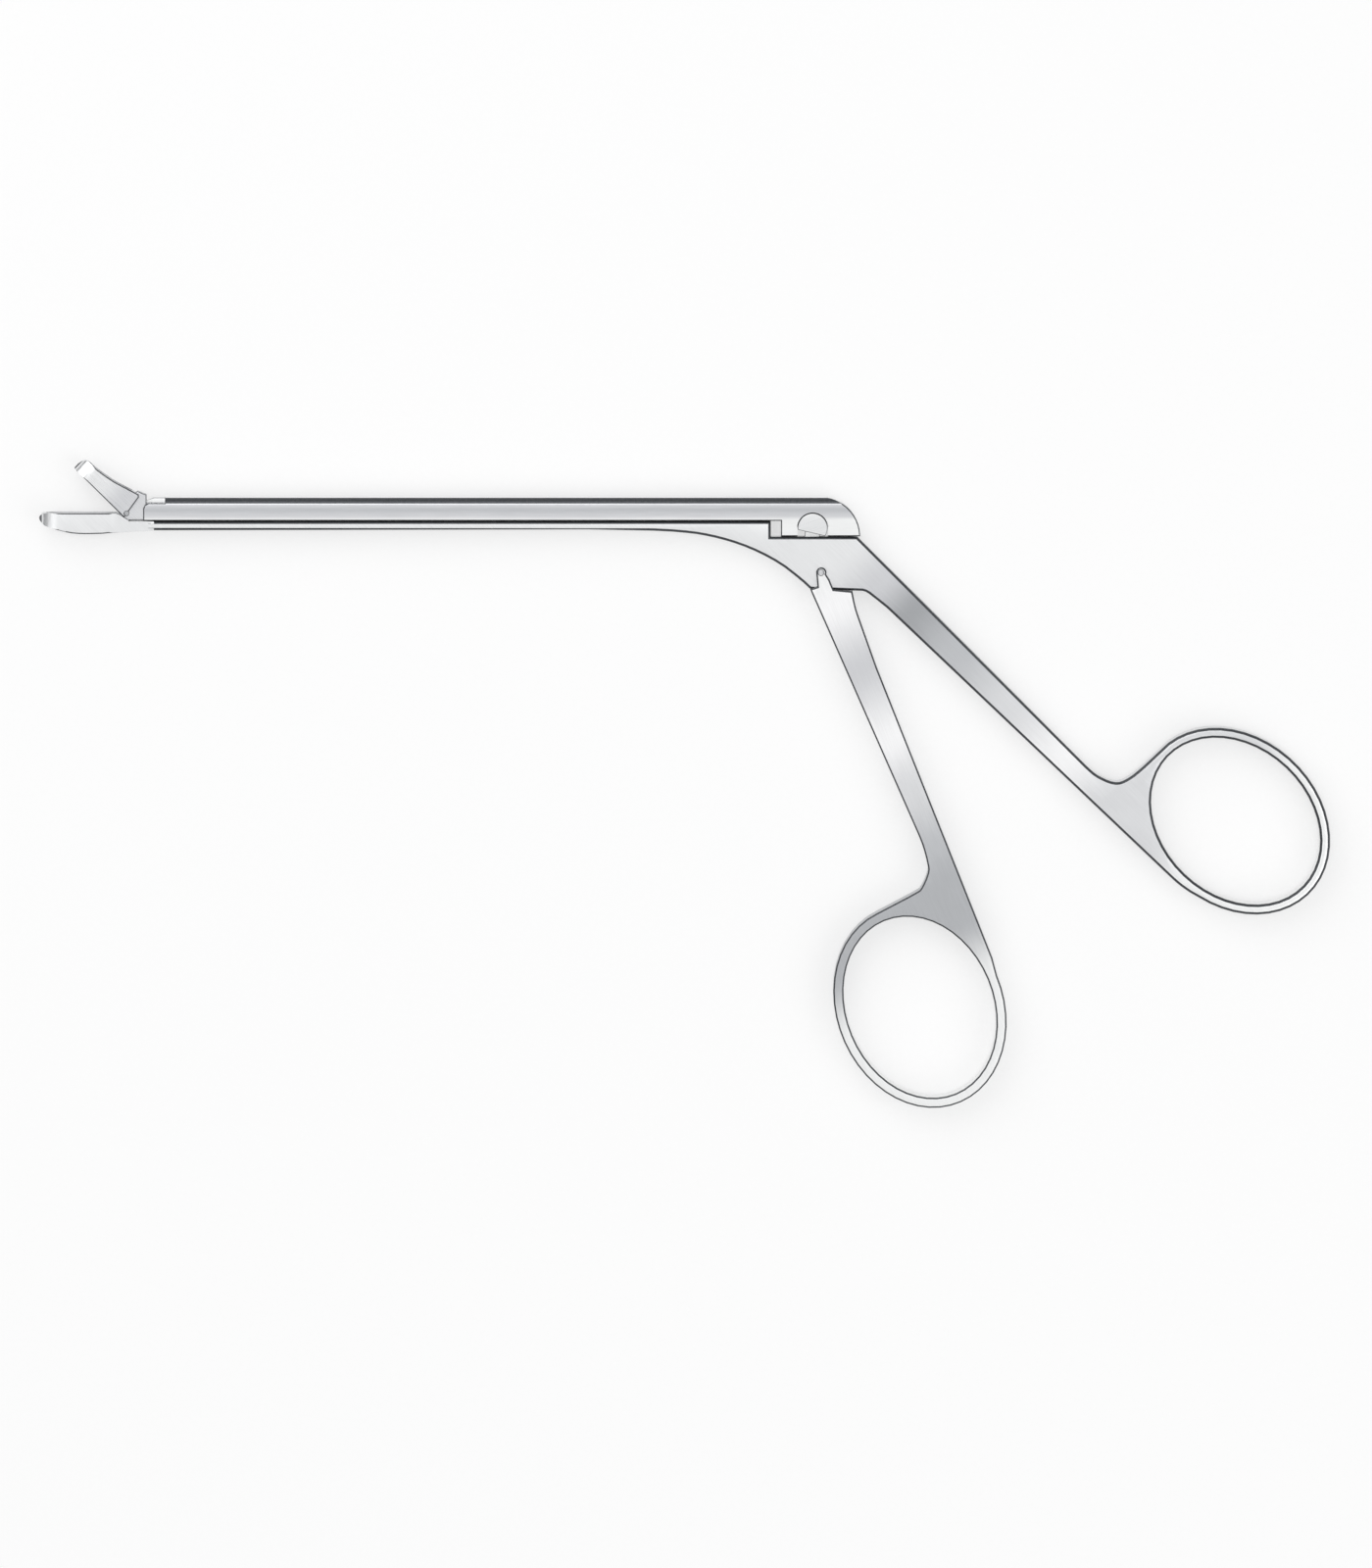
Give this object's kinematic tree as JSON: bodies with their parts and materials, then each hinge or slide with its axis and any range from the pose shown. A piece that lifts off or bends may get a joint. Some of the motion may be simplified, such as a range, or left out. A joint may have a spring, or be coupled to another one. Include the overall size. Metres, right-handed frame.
{
  "type": "nasal cutting forceps",
  "caption": "Through-cutting nasal forceps: a hollow upper jaw closes into a fixed lower jaw when the slide above the shaft is pushed forward by the ring handles.",
  "frame": {"origin": "centre of the bounding box on the surface that the instrument lies on, jaws open", "axes": "+X from the jaws towards the rear ring, along the shaft; +Y up across the handles, from the front ring towards the shaft; +Z up from the surface, across the instrument"},
  "size_m": [0.2001, 0.1006, 0.0056],
  "materials": {
    "satin_steel": "satin",
    "pin_steel": "satin"
  },
  "bodies": {
    "frame": {"fixed_body": "satin_steel", "jaw_pivot_pin": "pin_steel", "handle_pivot_pin": "pin_steel"},
    "handle": {"moving_handle": "satin_steel", "drive_head": "satin_steel"},
    "slide": {"slide_shaft": "satin_steel"},
    "jaw": {"moving_jaw": "satin_steel", "jaw_link_pin": "pin_steel"}
  },
  "joints": [
    {"name": "handle_pivot", "type": "hinge", "parent": "frame", "child": "handle", "pos_m": [0.02109, 0.03293, 0.0028], "axis": [0, 0, 1], "range_deg": [0, 12.88]},
    {"name": "slide_travel", "type": "slide", "parent": "frame", "child": "slide", "axis": [-1, 0, 0], "range_m": [0, 0.0015]},
    {"name": "jaw_pivot", "type": "hinge", "parent": "frame", "child": "jaw", "pos_m": [-0.08721, 0.04023, 0.0028], "axis": [0, 0, 1], "range_deg": [0, 44.7]}
  ],
  "couplings": [
    {"joint": "slide_travel", "follows": "handle_pivot", "m_per_rad": 0.0066678},
    {"joint": "jaw_pivot", "follows": "handle_pivot", "ratio": 3.468}
  ]
}
